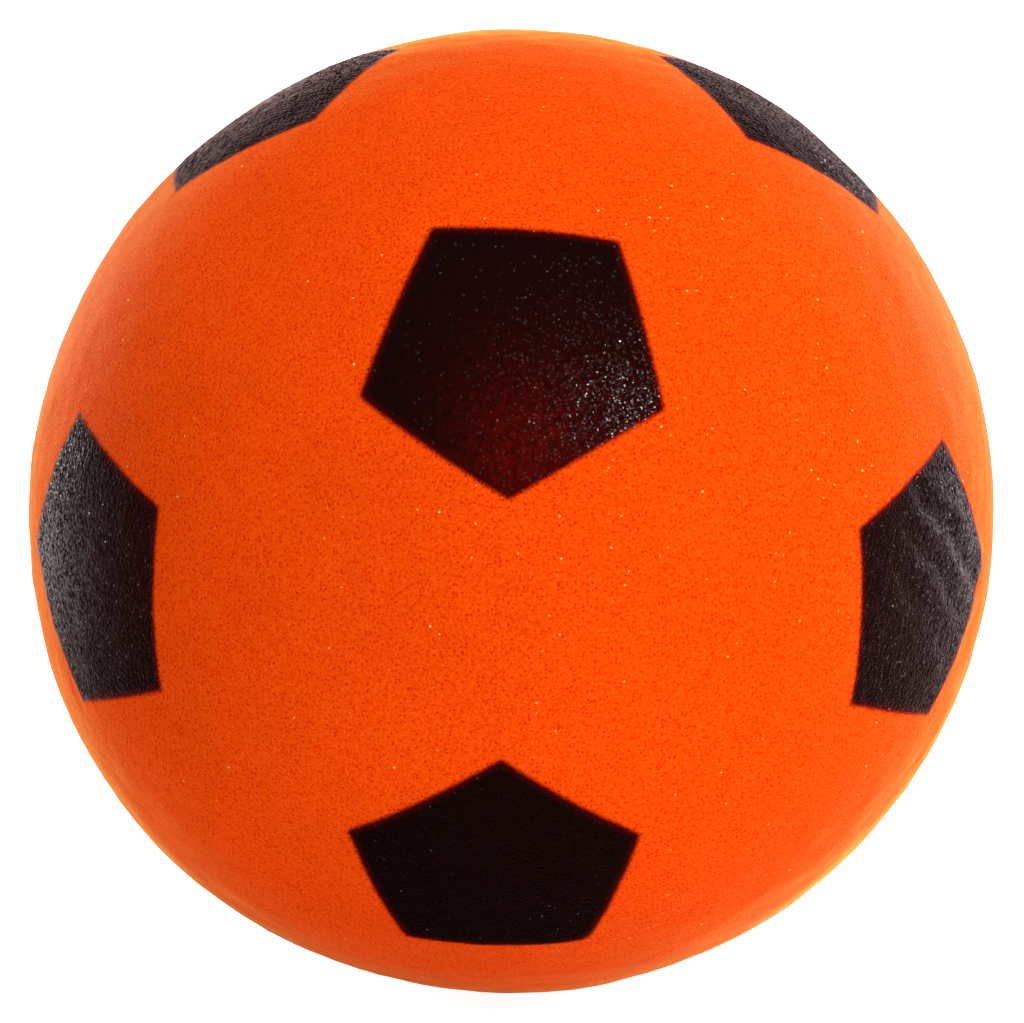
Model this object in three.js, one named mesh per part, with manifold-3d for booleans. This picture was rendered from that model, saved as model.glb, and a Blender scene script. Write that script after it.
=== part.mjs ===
// Foam soccer ball: one solid ball of orange foam, with twelve black pentagons of painted foam in its surface.
// Millimetres, +Z up. The origin is on the ground, under the middle of the ball.
import * as THREE from "three";
import { mergeVertices } from "three/addons/utils/BufferGeometryUtils.js";
import Module from "manifold-3d";

// Ball
const BALL_RADIUS = 100;
const FOOT_DEPTH = 0.5; // how far the soft foam gives under its own weight, where it stands

// Pentagons, all sprayed through one size of mask
const PENTAGON_EDGE = 34.5; // straight from corner to corner
const PAINT_DEPTH = 1.2; // how far the paint soaks into the foam
const PAINT_GAP = 0.3; // clearance under and around each painted layer
const PATTERN_ROLL = 1.6; // degrees that the ball has rolled to its right, seen from the front

// Facets and cutting
const BALL_SEGMENTS = 48;
const HALF_RINGS = 12; // from the ball's widest ring to its top or to its foot
const CAP_SEGMENTS = 15;
const CAP_RINGS = 4;
const CUT_THROUGH = 3; // how far a cutter runs past what it cuts

// The pentagons face the twelve corners of an icosahedron that lies with an edge on top.
// A pentagon's slip is how far, right and up over the surface, it was sprayed from its true place,
// and its turn is how many degrees it was turned there, anticlockwise from outside.
const GOLDEN = (1 + Math.sqrt(5)) / 2;
const PENTAGONS = [
  { name: "pentagon_front_upper", facing: [0, -GOLDEN, 1], slip: [0.2, 1.0], turn: -1.3 },
  { name: "pentagon_front_lower", facing: [0, -GOLDEN, -1], slip: [-0.6, -0.4], turn: 0.8 },
  { name: "pentagon_left_front", facing: [-GOLDEN, -1, 0], slip: [1.0, -2.2], turn: -0.9 },
  { name: "pentagon_right_front", facing: [GOLDEN, -1, 0], slip: [-1.8, -0.7], turn: 0.3 },
  { name: "pentagon_top_left", facing: [-1, 0, GOLDEN], slip: [0.9, 0.2], turn: 1.7 },
  { name: "pentagon_top_right", facing: [1, 0, GOLDEN], slip: [1.1, -1.5], turn: 3.5 },
  { name: "pentagon_rear_upper", facing: [0, GOLDEN, 1], slip: [0, 0], turn: 0 },
  { name: "pentagon_rear_lower", facing: [0, GOLDEN, -1], slip: [0, 0], turn: 0 },
  { name: "pentagon_left_rear", facing: [-GOLDEN, 1, 0], slip: [0, 0], turn: 0 },
  { name: "pentagon_right_rear", facing: [GOLDEN, 1, 0], slip: [0, 0], turn: 0 },
  { name: "pentagon_bottom_left", facing: [-1, 0, -GOLDEN], slip: [0, 0], turn: 0 },
  { name: "pentagon_bottom_right", facing: [1, 0, -GOLDEN], slip: [0, 0], turn: 0 },
];

// Worked out from the sizes above
const SIDES = 5;
const CENTRE_HEIGHT = BALL_RADIUS - FOOT_DEPTH;
const FOOT_ANGLE = Math.acos(CENTRE_HEIGHT / BALL_RADIUS);
const FOOT_RADIUS = BALL_RADIUS * Math.sin(FOOT_ANGLE);
const CORNER_RADIUS = PENTAGON_EDGE / (2 * Math.sin(Math.PI / SIDES));
const CORNER_ANGLE = Math.asin(CORNER_RADIUS / BALL_RADIUS);
const UP = new THREE.Vector3(0, 0, 1);

const wasm = await Module();
wasm.setup();

function foamMaterial() {
  return new THREE.MeshStandardMaterial({ color: 0xf4560a, roughness: 0.95, metalness: 0 });
}

function paintMaterial() {
  return new THREE.MeshStandardMaterial({ color: 0x1c1210, roughness: 0.6, metalness: 0 });
}

// Closed geometry to solid, with the vertices that its faces share welded.
function toSolid(geometry) {
  const bare = geometry.clone();
  bare.deleteAttribute("normal");
  bare.deleteAttribute("uv");
  const welded = mergeVertices(bare);
  const mesh = new wasm.Mesh({
    numProp: 3,
    vertProperties: new Float32Array(welded.attributes.position.array),
    triVerts: new Uint32Array(welded.index.array),
  });
  return new wasm.Manifold(mesh);
}

function toGeometry(solid) {
  const { vertProperties, triVerts } = solid.getMesh();
  const geometry = new THREE.BufferGeometry();
  geometry.setAttribute("position", new THREE.BufferAttribute(vertProperties, 3));
  geometry.setIndex(new THREE.BufferAttribute(triVerts, 1));
  geometry.computeVertexNormals();
  return geometry;
}

// Whole ball about its own centre, cut flat at the foot.
function ballGeometry() {
  const profile = new THREE.Path();
  profile.moveTo(0, -CENTRE_HEIGHT);
  profile.lineTo(FOOT_RADIUS, -CENTRE_HEIGHT);
  profile.absarc(0, 0, BALL_RADIUS, FOOT_ANGLE - Math.PI / 2, 0, false);
  profile.absarc(0, 0, BALL_RADIUS, 0, Math.PI / 2, false);
  const ball = new THREE.LatheGeometry(profile.getPoints(HALF_RINGS / 2), BALL_SEGMENTS);
  return ball.rotateX(Math.PI / 2);
}

// Round cap of a spherical shell about +Z, which reaches the given angle from its middle.
function capGeometry(innerRadius, outerRadius, reach) {
  const profile = new THREE.Path();
  profile.absarc(0, 0, innerRadius, Math.PI / 2, Math.PI / 2 - reach, true);
  profile.absarc(0, 0, outerRadius, Math.PI / 2 - reach, Math.PI / 2, false);
  const cap = new THREE.LatheGeometry(profile.getPoints(CAP_RINGS / 2), CAP_SEGMENTS);
  return cap.rotateX(Math.PI / 2).rotateZ(Math.PI);
}

// Five-sided pyramid about +Z with its point at the ball's centre, so that its sides cut the ball along
// great circles. One corner is towards +Y, and each side stands out by the margin.
function pyramidGeometry(height, margin) {
  const widening = margin / Math.cos(Math.PI / SIDES);
  const topRadius = height * Math.tan(CORNER_ANGLE) + widening;
  const pyramid = new THREE.CylinderGeometry(topRadius, widening, height, SIDES);
  return pyramid.translate(0, height / 2, 0).rotateX(Math.PI / 2).rotateZ(Math.PI);
}

// Curved five-sided layer between two radii, facing +Z, larger all round than the mask by the margin.
function pentagonLayer(innerRadius, outerRadius, margin) {
  const reach = CORNER_ANGLE + (margin + CUT_THROUGH) / innerRadius;
  const cap = toSolid(capGeometry(innerRadius, outerRadius, reach));
  const pyramid = toSolid(pyramidGeometry(outerRadius + CUT_THROUGH, margin));
  return toGeometry(cap.intersect(pyramid));
}

// Turns a mesh that faces +Z to where its pentagon is on the ball, with a corner towards the next pentagon.
function facePentagon(mesh, { facing, slip, turn }) {
  const outward = new THREE.Vector3(...facing).normalize();
  const neighbour = new THREE.Vector3(...facing.map((step) => (Math.abs(step) === 1 ? -step : step)));
  const corner = neighbour.projectOnPlane(outward).normalize();
  const side = new THREE.Vector3().crossVectors(corner, outward);
  const right = new THREE.Vector3().crossVectors(UP, outward).normalize();
  const upward = new THREE.Vector3().crossVectors(outward, right);
  mesh.quaternion.setFromRotationMatrix(new THREE.Matrix4().makeBasis(side, corner, outward));
  mesh.rotateZ(THREE.MathUtils.degToRad(turn));
  mesh.rotateOnWorldAxis(upward, slip[0] / BALL_RADIUS);
  mesh.rotateOnWorldAxis(right, -slip[1] / BALL_RADIUS);
}

// The pattern: twelve painted layers, level with the surface, in a group about the ball's centre
const pattern = new THREE.Group();
pattern.rotation.y = THREE.MathUtils.degToRad(PATTERN_ROLL);
const paintedLayer = pentagonLayer(BALL_RADIUS - PAINT_DEPTH, BALL_RADIUS, 0);
for (const pentagon of PENTAGONS) {
  const layer = new THREE.Mesh(paintedLayer, paintMaterial());
  layer.name = pentagon.name;
  facePentagon(layer, pentagon);
  pattern.add(layer);
}
pattern.updateMatrixWorld(true);

// The foam: the ball, with a pocket for each painted layer
const pocketFloor = BALL_RADIUS - PAINT_DEPTH - PAINT_GAP;
const pocket = pentagonLayer(pocketFloor, BALL_RADIUS + CUT_THROUGH, PAINT_GAP);
let foamSolid = toSolid(ballGeometry());
for (const layer of pattern.children) {
  const placedPocket = pocket.clone().applyMatrix4(layer.matrixWorld);
  foamSolid = foamSolid.subtract(toSolid(placedPocket));
}
const foam = new THREE.Mesh(toGeometry(foamSolid), foamMaterial());
foam.name = "foam_ball";

const aboutCentre = new THREE.Group();
aboutCentre.position.z = CENTRE_HEIGHT;
aboutCentre.add(foam, pattern);

const soccerBall = new THREE.Group();
soccerBall.name = "foam_soccer_ball";
soccerBall.add(aboutCentre);

export default soccerBall;
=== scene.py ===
"""Looks of a foam soccer ball: orange open-cell foam with twelve black pentagons sprayed into its surface.

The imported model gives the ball's size and every pentagon's corners. Lengths are millimetres on the ball
unless a comment says otherwise, and they become metres when a mesh is made.
"""
import math

import bpy
import numpy as np
from mathutils import Matrix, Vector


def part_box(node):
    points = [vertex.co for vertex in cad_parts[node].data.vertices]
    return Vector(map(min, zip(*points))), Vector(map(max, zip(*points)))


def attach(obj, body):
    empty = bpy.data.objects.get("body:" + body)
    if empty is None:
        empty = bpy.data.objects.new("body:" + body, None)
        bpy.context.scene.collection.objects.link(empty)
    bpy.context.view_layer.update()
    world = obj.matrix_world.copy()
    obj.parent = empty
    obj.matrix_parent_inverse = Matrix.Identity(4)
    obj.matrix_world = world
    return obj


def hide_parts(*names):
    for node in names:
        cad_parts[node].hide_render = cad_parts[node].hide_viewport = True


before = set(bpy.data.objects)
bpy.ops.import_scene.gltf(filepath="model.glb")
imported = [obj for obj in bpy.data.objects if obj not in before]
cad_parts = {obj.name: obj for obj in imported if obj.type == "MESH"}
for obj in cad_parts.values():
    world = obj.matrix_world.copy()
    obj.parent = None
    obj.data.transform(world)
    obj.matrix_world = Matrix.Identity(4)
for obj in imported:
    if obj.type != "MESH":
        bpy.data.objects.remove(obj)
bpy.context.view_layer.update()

MM = 0.001

# Ball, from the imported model
FOAM_NODE = "foam_ball"
PENTAGON_NODES = [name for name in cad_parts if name.startswith("pentagon_")]
BALL_LOW, BALL_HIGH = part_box(FOAM_NODE)
BALL_RADIUS = (BALL_HIGH.x - BALL_LOW.x) / 2 / MM
BALL_CENTRE = np.array([
    (BALL_HIGH.x + BALL_LOW.x) / 2 / MM,
    (BALL_HIGH.y + BALL_LOW.y) / 2 / MM,
    BALL_HIGH.z / MM - BALL_RADIUS,
])
SIDES = 5

# Camera
PHOTO_WIDTH = 1024  # pixels, like the next three
PHOTO_HEIGHT = 1023
BALL_IN_PHOTO = 482.7  # radius of the ball there
PHOTO_CENTRE = (511.3, 512.1)  # middle of the ball there
CAMERA_DISTANCE = 12.0 * BALL_RADIUS
CAMERA_AZIMUTH = math.radians(0.73)
CAMERA_ELEVATION = math.radians(13.66)
SENSOR = 36.0

# Layers: the painted foam lies in a shallow pocket and meets the ball's surface at the rim
PAINT_DEPTH = 1.2
POCKET_DEPTH = 1.5
WALL_GAP = 0.3

# Grids
FOAM_STEPS = 22  # along half a side of a pentagon
BORDER_STEPS = 30  # from a pentagon to the border halfway to its neighbours
PAINT_STEPS = 100  # along half a side of a painted layer, fine enough for its grains
FLOOR_ROWS = 5

# Relief of the ground foam: lobes round the viewing axis (count, height, degrees of a peak from the right),
# then random rolling and the grains of the painted foam (wavelength, height)
LOBES = ((2, 0.40, 41), (3, 0.20, -34), (4, 0.10, 42), (5, 0.11, 2))
ROLLING = ((36.0, 0.10), (13.0, 0.05), (5.0, 0.03))
GRAINS = ((0.9, 0.05),)
GRAIN_FADE = (0.2, 1.5)  # distances inside the rim where the grains begin and are full
WAVE_COUNT = 40
WAVE_SPREAD = (0.75, 1.35)  # shortest and longest wave, in wavelengths
SEED = 7
GRAIN_SEED = 27
MENDING_ROUNDS = 5  # of the radius, when the place of a pixel on the ball is worked out

# Creases pressed into the foam at the right: ends in the photograph's pixels, and depth
CREASES = (
    ((914, 490), (976, 584), 0.65),
    ((904, 524), (958, 608), 0.50),
    ((896, 572), (950, 656), 0.40),
)
CREASE_WIDTH = 2.6
CREASE_SWAY = (0.5, 3.0)  # how far a crease sways to a side, and over what length, like the next
CREASE_QUIVER = (0.3, 1.3)
CREASE_SHIFT = 9  # starts each crease's sway at another point, by its depth

# Spray: where the photograph shows the mask's corners, which of them are rounder and by how much, and the
# middle of a side that bows outwards, with its bow; all places in the photograph's pixels
SEEN_CORNERS = {
    "pentagon_front_upper": ((432, 227), (359, 397), (509, 500), (665, 410), (619, 241)),
    "pentagon_front_lower": ((501, 759), (347, 830), (405, 936), (588, 940), (641, 834)),
    "pentagon_left_front": ((80, 412), (37, 540), (83, 701), (162, 691), (159, 507)),
    "pentagon_right_front": ((942, 438), (859, 528), (850, 705), (928, 715), (982, 561)),
    "pentagon_top_left": ((315, 120),),
    "pentagon_top_right": ((747, 139),),
}
CORNER_SOFTNESS = 0.25
ROUND_CORNERS = (((405, 936), 0.35), ((588, 940), 1.0), ((281, 937), 1.5))
ROUND_REACH = 8.0
BOWED_SIDES = (((433, 449), 0.7),)

# Where the paint is thin, where it is glossy, the share of painted cells that keep a film, and of bare cells
# that get a painted glint, a pale speck in the colour that stands in for light caught by a cell's film: for
# each place its middle in the photograph's pixels, its reach and its amount
THIN_PAINT = (
    ((525, 470), 11.0, 0.68),
    ((510, 410), 13.0, 0.25),
    ((615, 405), 17.0, 0.15),
    ((500, 330), 32.0, 0.04),
    ((240, 100), 24.0, 0.18),
    ((135, 570), 28.0, 0.13),
    ((930, 590), 30.0, 0.05),
)
GLOSS = (
    ((44, 540), 24.0, 0.36),
    ((970, 550), 22.0, 0.24),
    ((240, 100), 30.0, 0.01),
    ((820, 120), 30.0, 0.03),
)
FILMS = (
    ((615, 402), 17.0, 0.65),
    ((497, 855), 40.0, -0.018),
    ((48, 540), 24.0, 0.10),
    ((965, 560), 25.0, 0.12),
    ((240, 100), 28.0, 0.08),
    ((820, 120), 28.0, 0.12),
)
FILMS_ELSEWHERE = 0.018
# Painted glints: pale specks in the foam's colour, densest on the right, where the key lamp's light catches
# the films
PAINTED_GLINT_PLACES = (((740, 440), 60.0, 0.0052),)
PAINTED_GLINTS_ELSEWHERE = 0.0007


def unit(vectors):
    """Vectors divided by their own lengths."""
    return vectors / np.linalg.norm(vectors, axis=-1, keepdims=True)


# Camera axes: towards the camera, to its right and upwards
BACK = np.array([
    math.sin(CAMERA_AZIMUTH) * math.cos(CAMERA_ELEVATION),
    -math.cos(CAMERA_AZIMUTH) * math.cos(CAMERA_ELEVATION),
    math.sin(CAMERA_ELEVATION),
])
RIGHT = np.array([math.cos(CAMERA_AZIMUTH), math.sin(CAMERA_AZIMUTH), 0.0])
UP = np.cross(BACK, RIGHT)

# The ball's outline is a cone about the line of sight, whose tangent fixes the lens. The camera stands a
# little aside, so that the ball is off the middle of the picture as in the photograph.
FOCAL_PIXELS = BALL_IN_PHOTO / math.tan(math.asin(BALL_RADIUS / CAMERA_DISTANCE))
PIXEL = CAMERA_DISTANCE / FOCAL_PIXELS
ASIDE = (PHOTO_WIDTH / 2 - PHOTO_CENTRE[0]) * RIGHT + (PHOTO_CENTRE[1] - PHOTO_HEIGHT / 2) * UP
CAMERA_PLACE = BACK * CAMERA_DISTANCE + ASIDE * PIXEL


def aimed(place, right, up, back):
    """Matrix that puts a camera or a lamp at a place in metres, with its own axes along the given ones."""
    turn = Matrix((right, up, back)).transposed().to_4x4()
    turn.translation = place
    return turn


def make_camera():
    """Camera that frames the ball as in the photograph."""
    data = bpy.data.cameras.new("camera")
    data.sensor_width = SENSOR
    data.lens = SENSOR * FOCAL_PIXELS / PHOTO_WIDTH
    camera = bpy.data.objects.new("camera", data)
    bpy.context.scene.collection.objects.link(camera)
    camera.matrix_world = aimed((BALL_CENTRE + CAMERA_PLACE) * MM, RIGHT, UP, BACK)
    bpy.context.scene.camera = camera


make_camera()


# Surface of the real ball


def rolling(points, wavelength, seed):
    """Smooth random field of unit spread: sine waves of about one wavelength with random headings and phases,
    added up."""
    random = np.random.default_rng(seed)
    heading = unit(random.normal(size=(WAVE_COUNT, 3)))
    length = wavelength * random.uniform(*WAVE_SPREAD, WAVE_COUNT)
    phase = random.uniform(0, 2 * math.pi, WAVE_COUNT)
    waves = heading * (2 * math.pi / length)[:, None]
    return np.sin(points @ waves.T + phase).sum(axis=-1) * math.sqrt(2 / WAVE_COUNT)


def out_of_round(directions):
    """How far the surface stands out from a true sphere: lobes, each a power of the distance from the viewing
    axis times a cosine round it, and rolling of several wavelengths."""
    plane = directions @ RIGHT + 1j * (directions @ UP)
    height = np.zeros(directions.shape[:-1])
    for count, size, peak in LOBES:
        height += size * ((plane * np.exp(-1j * math.radians(peak))) ** count).real
    for step, (wavelength, size) in enumerate(ROLLING):
        height += size * rolling(directions * BALL_RADIUS, wavelength, SEED + step)
    return height


def seen_at(pixel):
    """Direction to the point of the ball that the photograph shows at a pixel: the camera's ray through it,
    followed to where it first meets a sphere, whose radius is then mended by the surface's height there."""
    across = (pixel[0] - PHOTO_WIDTH / 2) * RIGHT
    up = (PHOTO_HEIGHT / 2 - pixel[1]) * UP
    ray = unit(across + up - FOCAL_PIXELS * BACK)
    nearest = -(CAMERA_PLACE @ ray)
    miss = CAMERA_PLACE @ CAMERA_PLACE - nearest ** 2
    radius = BALL_RADIUS
    for _ in range(MENDING_ROUNDS):
        reach = nearest - math.sqrt(max(radius ** 2 - miss, 0.0))
        direction = unit(CAMERA_PLACE + reach * ray)
        radius = BALL_RADIUS + float(out_of_round(direction))
    return direction


def creases(directions):
    """Shallow creases, each along a line that wavers and fades out at its ends: across it, a dip with raised
    shoulders, one less the square of the distance, times a bell."""
    height = np.zeros(directions.shape[:-1])
    for start_pixel, end_pixel, depth in CREASES:
        start, end = seen_at(start_pixel), seen_at(end_pixel)
        middle, along = unit(start + end), unit(end - start)
        y = BALL_RADIUS * (directions @ along)
        sway = CREASE_SWAY[0] * np.sin(y / CREASE_SWAY[1] + CREASE_SHIFT * depth)
        quiver = CREASE_QUIVER[0] * np.sin(y / CREASE_QUIVER[1])
        x = (BALL_RADIUS * (directions @ np.cross(middle, along)) + (sway + quiver)) / CREASE_WIDTH
        half = BALL_RADIUS * np.linalg.norm(end - start) / 2
        fade = np.exp(-(y / half) ** 4) * (directions @ middle > 0)
        height -= depth * (1 - x ** 2) * np.exp(-x ** 2 / 2) * fade
    return height


def under_surface(directions, depth):
    """Points at a depth under the ball's surface: out along each direction to the radius and the relief, less
    the depth, and level with the ground where the ball stands."""
    reach = BALL_RADIUS + out_of_round(directions) + creases(directions) - depth
    points = BALL_CENTRE + directions * reach[..., None]
    points[..., 2] = np.maximum(points[..., 2], 0.0)
    return points


# Pentagons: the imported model's, each corner moved to where the photograph shows it


def node_directions(name):
    """Directions from the ball's centre to a node's vertices."""
    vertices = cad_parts[name].data.vertices
    points = np.empty(len(vertices) * 3, np.float32)
    vertices.foreach_get("co", points)
    return unit(points.reshape(-1, 3).astype(float) / MM - BALL_CENTRE)


# A direction along which no pentagon's middle lies
ZERO_TURN = BACK + 2 * UP


def turns_about(middle, directions):
    """Angle of each direction round a middle one, anticlockwise from outside."""
    side = unit(np.cross(middle, ZERO_TURN))
    return np.arctan2(directions @ np.cross(middle, side), directions @ side)


def find_corners(directions):
    """Five corners of a pentagon, anticlockwise from outside: in each fifth of a turn, counted from the point
    farthest from the middle, the direction farthest from the middle."""
    middle = unit(directions.mean(axis=0))
    turn = turns_about(middle, directions)
    nearness = directions @ middle
    first = turn[np.argmin(nearness)]
    fifth = np.round((turn - first) / (2 * math.pi / SIDES)).astype(int) % SIDES
    farthest = [np.where(fifth == k, nearness, np.inf).argmin() for k in range(SIDES)]
    return directions[farthest]


def sprayed_corners(name):
    """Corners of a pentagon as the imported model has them, each moved to where the photograph shows it."""
    corners = find_corners(node_directions(name))
    for pixel in SEEN_CORNERS.get(name, ()):
        seen = seen_at(pixel)
        corners[np.argmax(corners @ seen)] = seen
    return corners


def at_nearest(places, seen_values):
    """Values for an array of places on the ball: each pixel's value at the place nearest to it, and 0
    elsewhere."""
    values = np.zeros(places.shape[:-1])
    for pixel, value in seen_values:
        nearest = np.argmax(places @ seen_at(pixel))
        values.flat[nearest] = value
    return values


CORNERS = np.array([sprayed_corners(name) for name in PENTAGON_NODES])
MIDDLES = unit(CORNERS.sum(axis=1))
SIDE_MIDDLES = unit(CORNERS + np.roll(CORNERS, -1, axis=1))
ROUNDINGS = at_nearest(CORNERS, ROUND_CORNERS)
BOWS = at_nearest(SIDE_MIDDLES, BOWED_SIDES)


def neighbours(index):
    """The five nearest pentagons, each in the order of the corner that points to it."""
    nearness = MIDDLES @ MIDDLES[index]
    nearest = np.argsort(-nearness)[1:SIDES + 1]
    corner_turn = turns_about(MIDDLES[index], CORNERS[index])
    turn = turns_about(MIDDLES[index], MIDDLES[nearest])
    apart = np.angle(np.exp(1j * (turn[None, :] - corner_turn[:, None])))
    return nearest[np.abs(apart).argmin(axis=1)]


def spray_distance(directions):
    """How far each direction lies inside the nearest sprayed pentagon, negative outside. The distance to a
    side is measured square to its great circle, and a bow is added that falls off from the side's middle as a
    parabola. The five are joined by a soft least value, which rounds the corners, and the pentagons by the
    greatest value."""
    nearest = np.full(directions.shape[:-1], -np.inf)
    for corners, roundings, bows in zip(CORNERS, ROUNDINGS, BOWS):
        following = np.roll(corners, -1, axis=0)
        chord = following - corners
        gaps = BALL_RADIUS * np.arcsin(directions @ unit(np.cross(corners, following)).T)
        along = 2 * (directions @ chord.T) / (chord ** 2).sum(axis=1)
        gaps = gaps + bows * np.maximum(1 - along ** 2, 0)
        apart = BALL_RADIUS * np.arccos(np.clip(directions @ corners.T, -1, 1))
        extra = roundings * np.exp(-(apart / ROUND_REACH) ** 2)
        softness = CORNER_SOFTNESS + extra.sum(axis=-1)
        soft = -softness * np.log(np.exp(-gaps / softness[..., None]).sum(axis=-1))
        nearest = np.maximum(nearest, soft)
    return nearest


def bells(directions, places):
    """Sum of bells, each about one place: its amount times a falling exponential of the squared distance."""
    total = np.zeros(directions.shape[:-1])
    for pixel, reach, amount in places:
        apart = BALL_RADIUS * np.arccos(np.clip(directions @ seen_at(pixel), -1, 1))
        total += amount * np.exp(-(apart / reach) ** 2)
    return total


# Meshes


def four_sided(near_start, near_end, far_start, far_end, along, across):
    """Directions over a four-sided piece of the ball: one line is blended straight from near_start to
    near_end, another from far_start to far_end, then the first into the second, and all is pushed out to the
    sphere."""
    s = np.linspace(0, 1, along + 1)[None, :, None]
    t = np.linspace(0, 1, across + 1)[:, None, None]
    near = near_start * (1 - s) + near_end * s
    far = far_start * (1 - s) + far_end * s
    return unit(near * (1 - t) + far * t)


def grid_quads(rows, columns, closed=False):
    """Corner numbers of a grid's quads, along the row first. A closed grid joins its last column to its
    first."""
    number = np.arange(rows * columns).reshape(rows, columns)
    if closed:
        number = np.concatenate([number, number[:, :1]], axis=1)
    corners = [number[:-1, :-1], number[:-1, 1:], number[1:, 1:], number[1:, :-1]]
    return np.stack(corners, axis=-1).reshape(-1, 4)


def pentagon_outline(index, steps):
    """Directions round a pentagon, anticlockwise from its first corner: straight blends from each corner to
    the middle of the side and on to the next corner, pushed out to the sphere."""
    stops = np.stack([CORNERS[index], SIDE_MIDDLES[index]], axis=1).reshape(-1, 1, 3)
    s = (np.arange(steps) / steps)[None, :, None]
    return unit(stops * (1 - s) + np.roll(stops, -1, axis=0) * s).reshape(-1, 3)


def hidden_rows(index, steps, depth, inset):
    """Rows from a pentagon's outline straight down to a depth, drawn in by the inset, and over a floor there
    to the middle, where the last row is one point."""
    outline = pentagon_outline(index, steps)
    middle = MIDDLES[index]
    reach = BALL_RADIUS * np.arccos(outline @ middle)
    foot = unit(outline + (middle - outline) * (inset / reach)[:, None])
    share = np.linspace(0, 1, FLOOR_ROWS + 1)[:, None, None]
    floor = unit(foot * (1 - share) + middle * share)
    rim = under_surface(outline[None], 0.0)
    return np.concatenate([rim, under_surface(floor, depth)])


WELD_STEPS = 1e4  # steps in a millimetre; points on the same step are one point


def weld(grids):
    """Joins grids, given as points and quads, into one surface. Points at the same place become one, and a
    quad that loses a corner becomes a triangle."""
    starts = np.cumsum([0] + [points.size // 3 for points, _ in grids])
    points = np.concatenate([points.reshape(-1, 3) for points, _ in grids])
    quads = np.concatenate([quads + start for (_, quads), start in zip(grids, starts)])
    places = np.round(points * WELD_STEPS).astype(np.int64)
    _, kept, same = np.unique(places, axis=0, return_index=True, return_inverse=True)
    quads = same.reshape(-1)[quads]
    whole = (quads[:, 2] != quads[:, 3]) & (quads[:, 0] != quads[:, 1])
    short = quads[~whole]
    triangles = np.where((short[:, 0] == short[:, 1])[:, None], short[:, 1:], short[:, :3])
    return points[kept], quads[whole].tolist() + triangles.tolist()


def foam_surface():
    """Closed surface of the foam: round each pentagon, ten four-sided grids from its outline to the border
    with the neighbours' share of the ball, and a pocket with a wall and a floor under the paint."""
    grids = []
    for index in range(len(PENTAGON_NODES)):
        near = neighbours(index)
        after = np.roll(near, -1)
        border_middles = unit(MIDDLES[index] + MIDDLES[near])
        border_corners = unit(MIDDLES[index] + MIDDLES[near] + MIDDLES[after])
        for k in range(SIDES):
            following = (k + 1) % SIDES
            corner, side = CORNERS[index, k], SIDE_MIDDLES[index, k]
            first = (corner, border_middles[k], side, border_corners[k])
            second = (side, border_corners[k], CORNERS[index, following], border_middles[following])
            for four in (first, second):
                directions = four_sided(*four, BORDER_STEPS, FOAM_STEPS)
                points = under_surface(directions, 0.0)
                grids.append((points, grid_quads(*points.shape[:2])))
        pocket = hidden_rows(index, FOAM_STEPS, POCKET_DEPTH, 0.0)
        grids.append((pocket, grid_quads(*pocket.shape[:2], closed=True)))
    return weld(grids)


def grains(directions):
    """Grains of the painted foam: fine rolling that fades out towards the rim, as a smooth step of the spray
    distance."""
    height = np.zeros(directions.shape[:-1])
    for step, (wavelength, size) in enumerate(GRAINS):
        height += size * rolling(directions * BALL_RADIUS, wavelength, GRAIN_SEED + step)
    start, full = GRAIN_FADE
    inside = np.clip((spray_distance(directions) - start) / (full - start), 0, 1)
    return height * inside ** 2 * (3 - 2 * inside)


def paint_surface(index):
    """Closed thin layer of one pentagon: five kite grids from its middle to its corners, level with the ball
    but for its grains, and a wall and an underside that stay clear of the pocket."""
    grids = []
    for k in range(SIDES):
        kite = (MIDDLES[index], SIDE_MIDDLES[index, k - 1], SIDE_MIDDLES[index, k], CORNERS[index, k])
        directions = four_sided(*kite, PAINT_STEPS, PAINT_STEPS)
        points = under_surface(directions, -grains(directions))
        grids.append((points, grid_quads(*points.shape[:2])))
    under = hidden_rows(index, PAINT_STEPS, PAINT_DEPTH, WALL_GAP)
    grids.append((under, grid_quads(*under.shape[:2], closed=True)[:, ::-1]))
    return weld(grids)


SHARP_ANGLE = math.radians(50)  # rims bend more than this, and grains less


def make_piece(name, surface, material, node):
    """Object of a welded surface, smooth but for its rims, with the spray distance, the paint's thinness and
    gloss and the shares of films and of painted glints at every vertex. It rides on the ball and stands for
    its node."""
    points, faces = surface
    mesh = bpy.data.meshes.new(name)
    mesh.from_pydata((points * MM).tolist(), [], faces)
    mesh.shade_smooth()
    mesh.set_sharp_from_angle(angle=SHARP_ANGLE)
    directions = unit(points - BALL_CENTRE)
    fields = {
        "spray": spray_distance(directions),
        "thin": bells(directions, THIN_PAINT),
        "gloss": bells(directions, GLOSS),
        "films": FILMS_ELSEWHERE + bells(directions, FILMS),
        "painted_glints": PAINTED_GLINTS_ELSEWHERE + bells(directions, PAINTED_GLINT_PLACES),
    }
    for label, values in fields.items():
        attribute = mesh.attributes.new(label, "FLOAT", "POINT")
        attribute.data.foreach_set("value", values.astype(np.float32))
    mesh.materials.append(material)
    piece = bpy.data.objects.new(name, mesh)
    bpy.context.scene.collection.objects.link(piece)
    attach(piece, "root")
    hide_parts(node)
    return piece


# Materials


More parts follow.
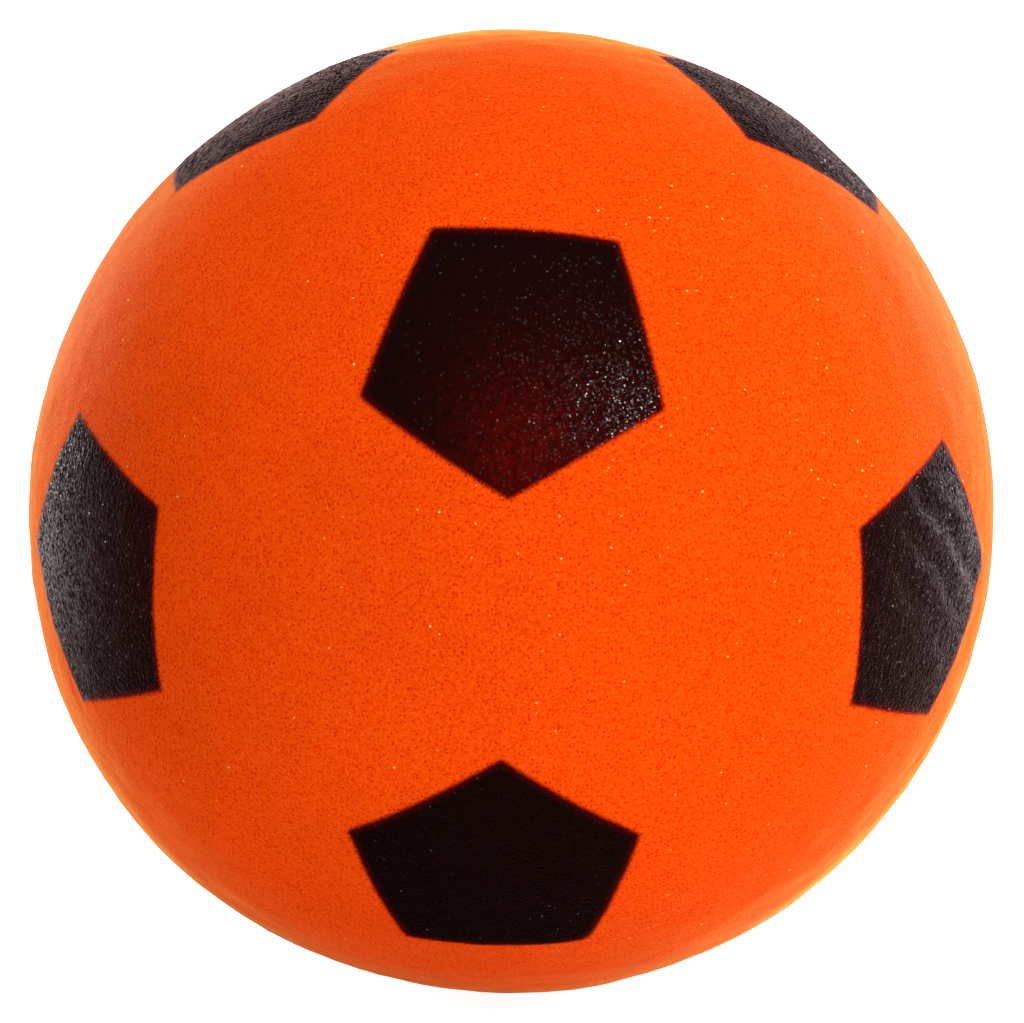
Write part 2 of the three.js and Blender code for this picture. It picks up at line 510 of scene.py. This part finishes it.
class Nodes:
    """Shorthand for one node tree: each call adds a node, feeds it and returns an output."""

    def __init__(self, tree):
        self.tree = tree
        tree.nodes.clear()

    def add(self, kind, inputs=None, **settings):
        """Node of a kind, with each input linked or set, and its settings."""
        node = self.tree.nodes.new(kind)
        for name, value in settings.items():
            setattr(node, name, value)
        for name, value in (inputs or {}).items():
            if isinstance(value, bpy.types.NodeSocket):
                self.tree.links.new(value, node.inputs[name])
            else:
                node.inputs[name].default_value = value
        return node

    def calc(self, operation, *values):
        """One step of arithmetic on numbers."""
        return self.add("ShaderNodeMath", dict(enumerate(values)), operation=operation).outputs[0]

    def vector(self, operation, first, second=None):
        """One step of arithmetic on vectors; the second value of a scaling is a number."""
        inputs = {0: first}
        if second is not None:
            inputs["Scale" if operation == "SCALE" else 1] = second
        return self.add("ShaderNodeVectorMath", inputs, operation=operation).outputs[0]

    def step(self, value, low, high, to_low=0.0, to_high=1.0):
        """Smooth step from to_low at low to to_high at high."""
        limits = {"Value": value, "From Min": low, "From Max": high, "To Min": to_low, "To Max": to_high}
        return self.add("ShaderNodeMapRange", limits, interpolation_type="SMOOTHSTEP").outputs[0]

    def mix(self, factor, first, second):
        """Blend from the first colour at 0 to the second at 1."""
        colours = {0: factor, 6: first, 7: second}
        return self.add("ShaderNodeMix", colours, data_type="RGBA").outputs[2]

    def place(self):
        """Place on the ball in millimetres."""
        coordinates = self.add("ShaderNodeTexCoord").outputs["Object"]
        return self.vector("SCALE", coordinates, 1 / MM)

    def attribute(self, label):
        """A vertex's value under one of the labels that make_piece gives."""
        return self.add("ShaderNodeAttribute", attribute_name=label).outputs["Fac"]

    def noise(self, place, size, detail=2.0):
        """Noise from 0 to 1 whose lumps are about the given size."""
        inputs = {"Vector": place, "Scale": 1 / size, "Detail": detail}
        return self.add("ShaderNodeTexNoise", inputs).outputs["Fac"]

    def cells(self, place, pitch):
        """Distance from the nearest cell's middle, in pitches, and two random colours for that cell."""
        cell = self.add("ShaderNodeTexVoronoi", {"Vector": place, "Scale": 1 / pitch}).outputs
        other = self.add("ShaderNodeTexWhiteNoise", {"Vector": cell["Position"]}).outputs["Color"]
        return cell["Distance"], cell["Color"], other

    def parts(self, colour):
        """Red, green and blue of a colour, here used as three random numbers."""
        return self.add("ShaderNodeSeparateColor", {0: colour}).outputs

    def seen(self):
        """1 where the camera sees a thing, also in a reflection or through another, and 0 for its light."""
        path = self.add("ShaderNodeLightPath").outputs
        mirrored = self.calc("MAXIMUM", path["Is Glossy Ray"], path["Is Transmission Ray"])
        return self.calc("MAXIMUM", path["Is Camera Ray"], mirrored)


# Colours
DEEP_ORANGE = (0.87, 0.0470, 0.0001, 1)
PALE_ORANGE = (0.96, 0.100, 0.0036, 1)
# painted shade: the darker red inside each pore's hollow, where shade falls
PORE_SHADE_RED = (0.72, 0.005, 0.0001, 1)
# painted glint: the pale yellow of light caught by a cell's film, painted into the foam's colour
PAINTED_GLINT = (1.0, 0.72, 0.20, 1)
OVERSPRAY = (0.20, 0.004, 0.0005, 1)
STAIN = (0.42, 0.008, 0.0005, 1)
BLACK = (0.0072, 0.0021, 0.0017, 1)
THIN_BLACK = (0.080, 0.0025, 0.0014, 1)
FRINGE = (0.050, 0.0020, 0.0010, 1)

# Foam: pitch of its cells, rim and floor of a pore in pitches from the cell's middle, how full the pores are,
# its grain, its wide blotches, and the roughness of foam and of pores
CELL_PITCH = 0.8
PORE = (0.46, 0.12)
PORE_DEPTHS = (0.35, 1.0)
GRAIN_SIZE = 0.45
GRAIN_DETAIL = 1.0
GRAIN_RANGE = (0.28, 0.72)
BLOTCH_SIZE = 22.0
BLOTCH_RANGE = (0.3, 0.7)
BLOTCH_SHADES = (0.97, 1.03)
ROUGHNESS = (0.65, 0.85)

# Films and painted glints: pitch of the cells that may keep one, where its rim ends and begins, how fast the
# painted glints grow pale, how strong films are, how far most of them lean, and how much farther a few do
FILM_PITCH = 0.48
FILM_RIM = (0.62, 0.45)
PAINTED_GLINT_POWER = 1.5
FILM_STRENGTHS = (0.10, 0.48)
FILM_LEAN = 0.14
FAR_LEAN = 0.9
FAR_LEAN_POWER = 6.0
FACET_RELIEF = 0.5  # share of the surface's own relief that a film follows
FILM_ROUGHNESS = 0.22

# Edge of the paint: how far noise and pores shift it, then the distances inside the mask at which paint,
# mist, stain and fringe begin and are full, with the strength of mist and stain
WAVER_SIZE = 0.5
WAVER_SHIFT = 0.8
PORE_SHIFT = 0.2
PAINT_EDGE = (-0.26, 0.70)
MIST_EDGE = (-2.0, 0.3)
MIST_STRENGTH = 0.6
STAIN_EDGE = (-0.75, 0.3)
STAIN_STRENGTH = 0.8
FRINGE_EDGE = (2.2, 0.2)

# Patches of thin paint, pebbles of glossy paint, and the pits and grain of the surface
THIN_SIZE = 1.1
THIN_RANGE = (0.3, 0.7)
THIN_SHADES = (0.5, 1.5)
PEBBLE = (0.75, 0.25)
PEBBLE_SHADES = (0.7, 1.5)
PIT = (0.0, 0.75)
PIT_DEPTHS = (0.5, 1.0)
GRAIN_HEIGHT = 0.25


def painted_foam(name, sheen, sheen_roughness, sheen_tint, shine, pit_depth):
    """Foam with its pores, and black paint where the spray distance says so, with a narrow soft edge. The
    same pattern runs through the foam and the paint, so no line shows at the rim. Here and there a cell
    keeps a bit of film: in the foam a painted glint, a pale speck in the colour that stands in for light
    caught by the film, and in the paint a glossy facet with its own tilt, which glints."""
    material = bpy.data.materials.new(name)
    material.use_nodes = True
    nodes = Nodes(material.node_tree)
    place = nodes.place()

    # Foam: fine grain from deep to pale, with painted shade, a darker red, in the pore of most cells
    cell, cell_colour, _ = nodes.cells(place, CELL_PITCH)
    cell_random = nodes.parts(cell_colour)[0]
    pore_depth = nodes.step(cell_random, 0.0, 1.0, *PORE_DEPTHS)
    pore = nodes.calc("MULTIPLY", nodes.step(cell, *PORE), pore_depth)
    grain = nodes.noise(place, GRAIN_SIZE, GRAIN_DETAIL)
    foam = nodes.mix(nodes.step(grain, *GRAIN_RANGE), DEEP_ORANGE, PALE_ORANGE)
    foam = nodes.mix(pore, foam, PORE_SHADE_RED)
    blotch = nodes.step(nodes.noise(place, BLOTCH_SIZE), *BLOTCH_RANGE, *BLOTCH_SHADES)
    foam = nodes.vector("SCALE", foam, blotch)

    # Painted glints: pale discs painted into the colour of a few cells of a finer pattern, in place of light
    # caught by films
    film_distance, film_colour, film_other = nodes.cells(place, FILM_PITCH)
    chance, far, strength = nodes.parts(film_other)
    disc = nodes.step(film_distance, *FILM_RIM)
    painted_glint = nodes.calc("MULTIPLY", nodes.calc("GREATER_THAN", nodes.attribute("painted_glints"), chance), disc)
    painted_glint = nodes.calc("MULTIPLY", painted_glint, nodes.calc("POWER", strength, PAINTED_GLINT_POWER))
    foam = nodes.mix(painted_glint, foam, PAINTED_GLINT)

    # Paint: a narrow edge, thin and red beside it, and a little mist in the pores outside
    spray = nodes.attribute("spray")
    waver = nodes.calc("SUBTRACT", nodes.noise(place, WAVER_SIZE), 0.5)
    edge = nodes.calc("MULTIPLY_ADD", waver, WAVER_SHIFT, spray)
    edge = nodes.calc("MULTIPLY_ADD", pore, PORE_SHIFT, edge)
    paint = nodes.step(edge, *PAINT_EDGE)
    mist = nodes.calc("MULTIPLY", nodes.step(spray, *MIST_EDGE), pore)
    foam = nodes.mix(nodes.calc("MULTIPLY", mist, MIST_STRENGTH), foam, OVERSPRAY)
    foam = nodes.mix(nodes.step(edge, *STAIN_EDGE, 0.0, STAIN_STRENGTH), foam, STAIN)
    patches = nodes.step(nodes.noise(place, THIN_SIZE), *THIN_RANGE, *THIN_SHADES)
    thin = nodes.calc("MULTIPLY", nodes.attribute("thin"), patches)
    black = nodes.mix(thin, BLACK, THIN_BLACK)
    black = nodes.mix(nodes.step(edge, *FRINGE_EDGE), black, FRINGE)
    colour = nodes.mix(paint, foam, black)

    # Gloss of the paint, and films in it: facets that lean a little, a few of them far
    share = nodes.calc("MULTIPLY", nodes.attribute("films"), paint)
    film = nodes.calc("GREATER_THAN", share, chance)
    film = nodes.calc("MULTIPLY", film, nodes.calc("MULTIPLY", disc, nodes.step(pore, 1.0, 0.0)))
    pebble_shade = nodes.step(cell_random, 0.0, 1.0, *PEBBLE_SHADES)
    pebble = nodes.calc("MULTIPLY", nodes.step(cell, *PEBBLE), pebble_shade)
    gloss = nodes.calc("MULTIPLY", nodes.attribute("gloss"), nodes.calc("MULTIPLY", paint, pebble))
    coat = nodes.calc("MULTIPLY_ADD", film, nodes.step(strength, 0.0, 1.0, *FILM_STRENGTHS), gloss)
    lean = nodes.calc("MULTIPLY_ADD", nodes.calc("POWER", far, FAR_LEAN_POWER), FAR_LEAN, FILM_LEAN)
    lean = nodes.calc("MULTIPLY", lean, film)
    tilt = nodes.vector("SCALE", nodes.vector("SUBTRACT", film_colour, (0.5, 0.5, 0.5)), lean)
    outward = nodes.vector("NORMALIZE", nodes.vector("SUBTRACT", place, BALL_CENTRE.tolist()))
    relief = nodes.vector("SUBTRACT", nodes.add("ShaderNodeNewGeometry").outputs["Normal"], outward)
    leaning = nodes.vector("ADD", outward, nodes.vector("SCALE", relief, FACET_RELIEF))
    facet = nodes.vector("NORMALIZE", nodes.vector("ADD", leaning, tilt))

    # Bump: a pit in each cell, and the grain
    pit = nodes.calc("MULTIPLY", nodes.step(cell, *PIT), nodes.step(cell_random, 0.0, 1.0, *PIT_DEPTHS))
    height = nodes.calc("MULTIPLY_ADD", grain, GRAIN_HEIGHT, pit)
    bump_inputs = {"Height": height, "Strength": 1.0, "Distance": pit_depth * MM}
    bump = nodes.add("ShaderNodeBump", bump_inputs).outputs[0]

    shader = nodes.add("ShaderNodeBsdfPrincipled", {
        "Base Color": colour,
        "Roughness": nodes.step(pore, 0.0, 1.0, *ROUGHNESS),
        "Normal": bump,
        "Specular IOR Level": shine,
        "Sheen Weight": sheen,
        "Sheen Roughness": sheen_roughness,
        "Sheen Tint": sheen_tint,
        "Coat Weight": coat,
        "Coat Roughness": FILM_ROUGHNESS,
        "Coat Normal": facet,
    })
    nodes.add("ShaderNodeOutputMaterial", {"Surface": shader.outputs[0]})
    return material


FOAM_MATERIAL = painted_foam(
    "orange_foam",
    sheen=0.46,
    sheen_roughness=0.28,
    sheen_tint=(1.0, 0.91, 0.24, 1),
    shine=0.004,
    pit_depth=0.05,
)
MATT_PAINT = painted_foam(
    "matt_black_paint",
    sheen=0.15,
    sheen_roughness=0.22,
    sheen_tint=(1.0, 0.75, 0.74, 1),
    shine=0.0,
    pit_depth=0.10,
)
SATIN_PAINT = painted_foam(
    "satin_black_paint",
    sheen=0.75,
    sheen_roughness=0.22,
    sheen_tint=(1.0, 0.66, 0.66, 1),
    shine=0.004,
    pit_depth=0.08,
)
MATT_NODES = ("pentagon_front_upper", "pentagon_front_lower")

foam_piece = make_piece("foam_body", foam_surface(), FOAM_MATERIAL, FOAM_NODE)
for index, node_name in enumerate(PENTAGON_NODES):
    piece_name = node_name.replace("pentagon", "paint")
    paint_material = MATT_PAINT if node_name in MATT_NODES else SATIN_PAINT
    make_piece(piece_name, paint_surface(index), paint_material, node_name)


# Stage: floor, lamps and the white room

WHITE = (1, 1, 1, 1)
ROOM_LEVEL = 0.36
FLOOR_WHITE = (0.9, 0.9, 0.9, 1)
FLOOR_LIFT = 0.92
FLOOR_REACH = 8.0  # metres each way from the origin
FLOOR_HEIGHT = -0.05
LAMP_DISTANCE = 1.6  # metres

# Lamps: direction from the ball in the camera's axes (to the right, up, towards the camera), width in metres
# and level
LAMPS = {
    "key": ((0.49, 0.34, 0.80), 0.06, 0.49),
    "right_panel": ((1.0, 0.2, 0.1), 1.0, 0.22),
    "right_rear_panel": ((0.85, 0.27, -0.5), 1.0, 0.5),
    "right_far_panel": ((0.6, 0.28, -0.8), 0.8, 0.90),
    "left_far_panel": ((-0.61, 0.18, -0.78), 0.8, 1.2),
    "top_panel": ((0.0, 1.0, 0.15), 1.0, 0.38),
}
LAMP_UPRIGHT = UP + 0.1 * BACK  # along no lamp's direction


def make_floor():
    """Wide white floor under the ball. The camera sees it lifted to white, but for the ball's shadow."""
    size = FLOOR_REACH
    low = FLOOR_HEIGHT * MM
    mesh = bpy.data.meshes.new("floor")
    corners = [(-size, -size, low), (size, -size, low), (size, size, low), (-size, size, low)]
    mesh.from_pydata(corners, [], [(0, 1, 2, 3)])
    material = bpy.data.materials.new("floor_white")
    material.use_nodes = True
    nodes = Nodes(material.node_tree)
    matt = nodes.add("ShaderNodeBsdfDiffuse", {"Color": FLOOR_WHITE}).outputs[0]
    lift = nodes.calc("MULTIPLY", nodes.seen(), FLOOR_LIFT)
    white = nodes.add("ShaderNodeEmission", {"Color": WHITE, "Strength": lift}).outputs[0]
    both = nodes.add("ShaderNodeAddShader", {0: matt, 1: white}).outputs[0]
    nodes.add("ShaderNodeOutputMaterial", {"Surface": both})
    mesh.materials.append(material)
    floor = bpy.data.objects.new("floor", mesh)
    bpy.context.scene.collection.objects.link(floor)


def make_lamp(name, axes, width, level):
    """Soft round lamp that faces the ball from a direction given in the camera's axes. At a level of 1 it
    lights a surface that faces it as brightly as the surface's own colour: its power is the square of pi
    times the distance."""
    data = bpy.data.lights.new(name, "AREA")
    data.shape = "DISK"
    data.size = width
    data.energy = level * (math.pi * LAMP_DISTANCE) ** 2
    lamp = bpy.data.objects.new(name, data)
    bpy.context.scene.collection.objects.link(lamp)
    across, up, back = axes
    direction = unit(across * RIGHT + up * UP + back * BACK)
    side = unit(np.cross(LAMP_UPRIGHT, direction))
    place = BALL_CENTRE * MM + direction * LAMP_DISTANCE
    lamp.matrix_world = aimed(place, side, np.cross(direction, side), direction)


def make_world():
    """White room: a soft even light, and plain white where the camera or a reflection sees it."""
    world = bpy.data.worlds.new("room")
    bpy.context.scene.world = world
    world.use_nodes = True
    nodes = Nodes(world.node_tree)
    strength = nodes.calc("MULTIPLY_ADD", nodes.seen(), 1 - ROOM_LEVEL, ROOM_LEVEL)
    light = nodes.add("ShaderNodeBackground", {"Color": WHITE, "Strength": strength}).outputs[0]
    nodes.add("ShaderNodeOutputWorld", {"Surface": light})


make_floor()
make_world()
for lamp_name, (lamp_axes, lamp_width, lamp_level) in LAMPS.items():
    make_lamp(lamp_name, lamp_axes, lamp_width, lamp_level)

bpy.context.scene.view_settings.view_transform = "Standard"
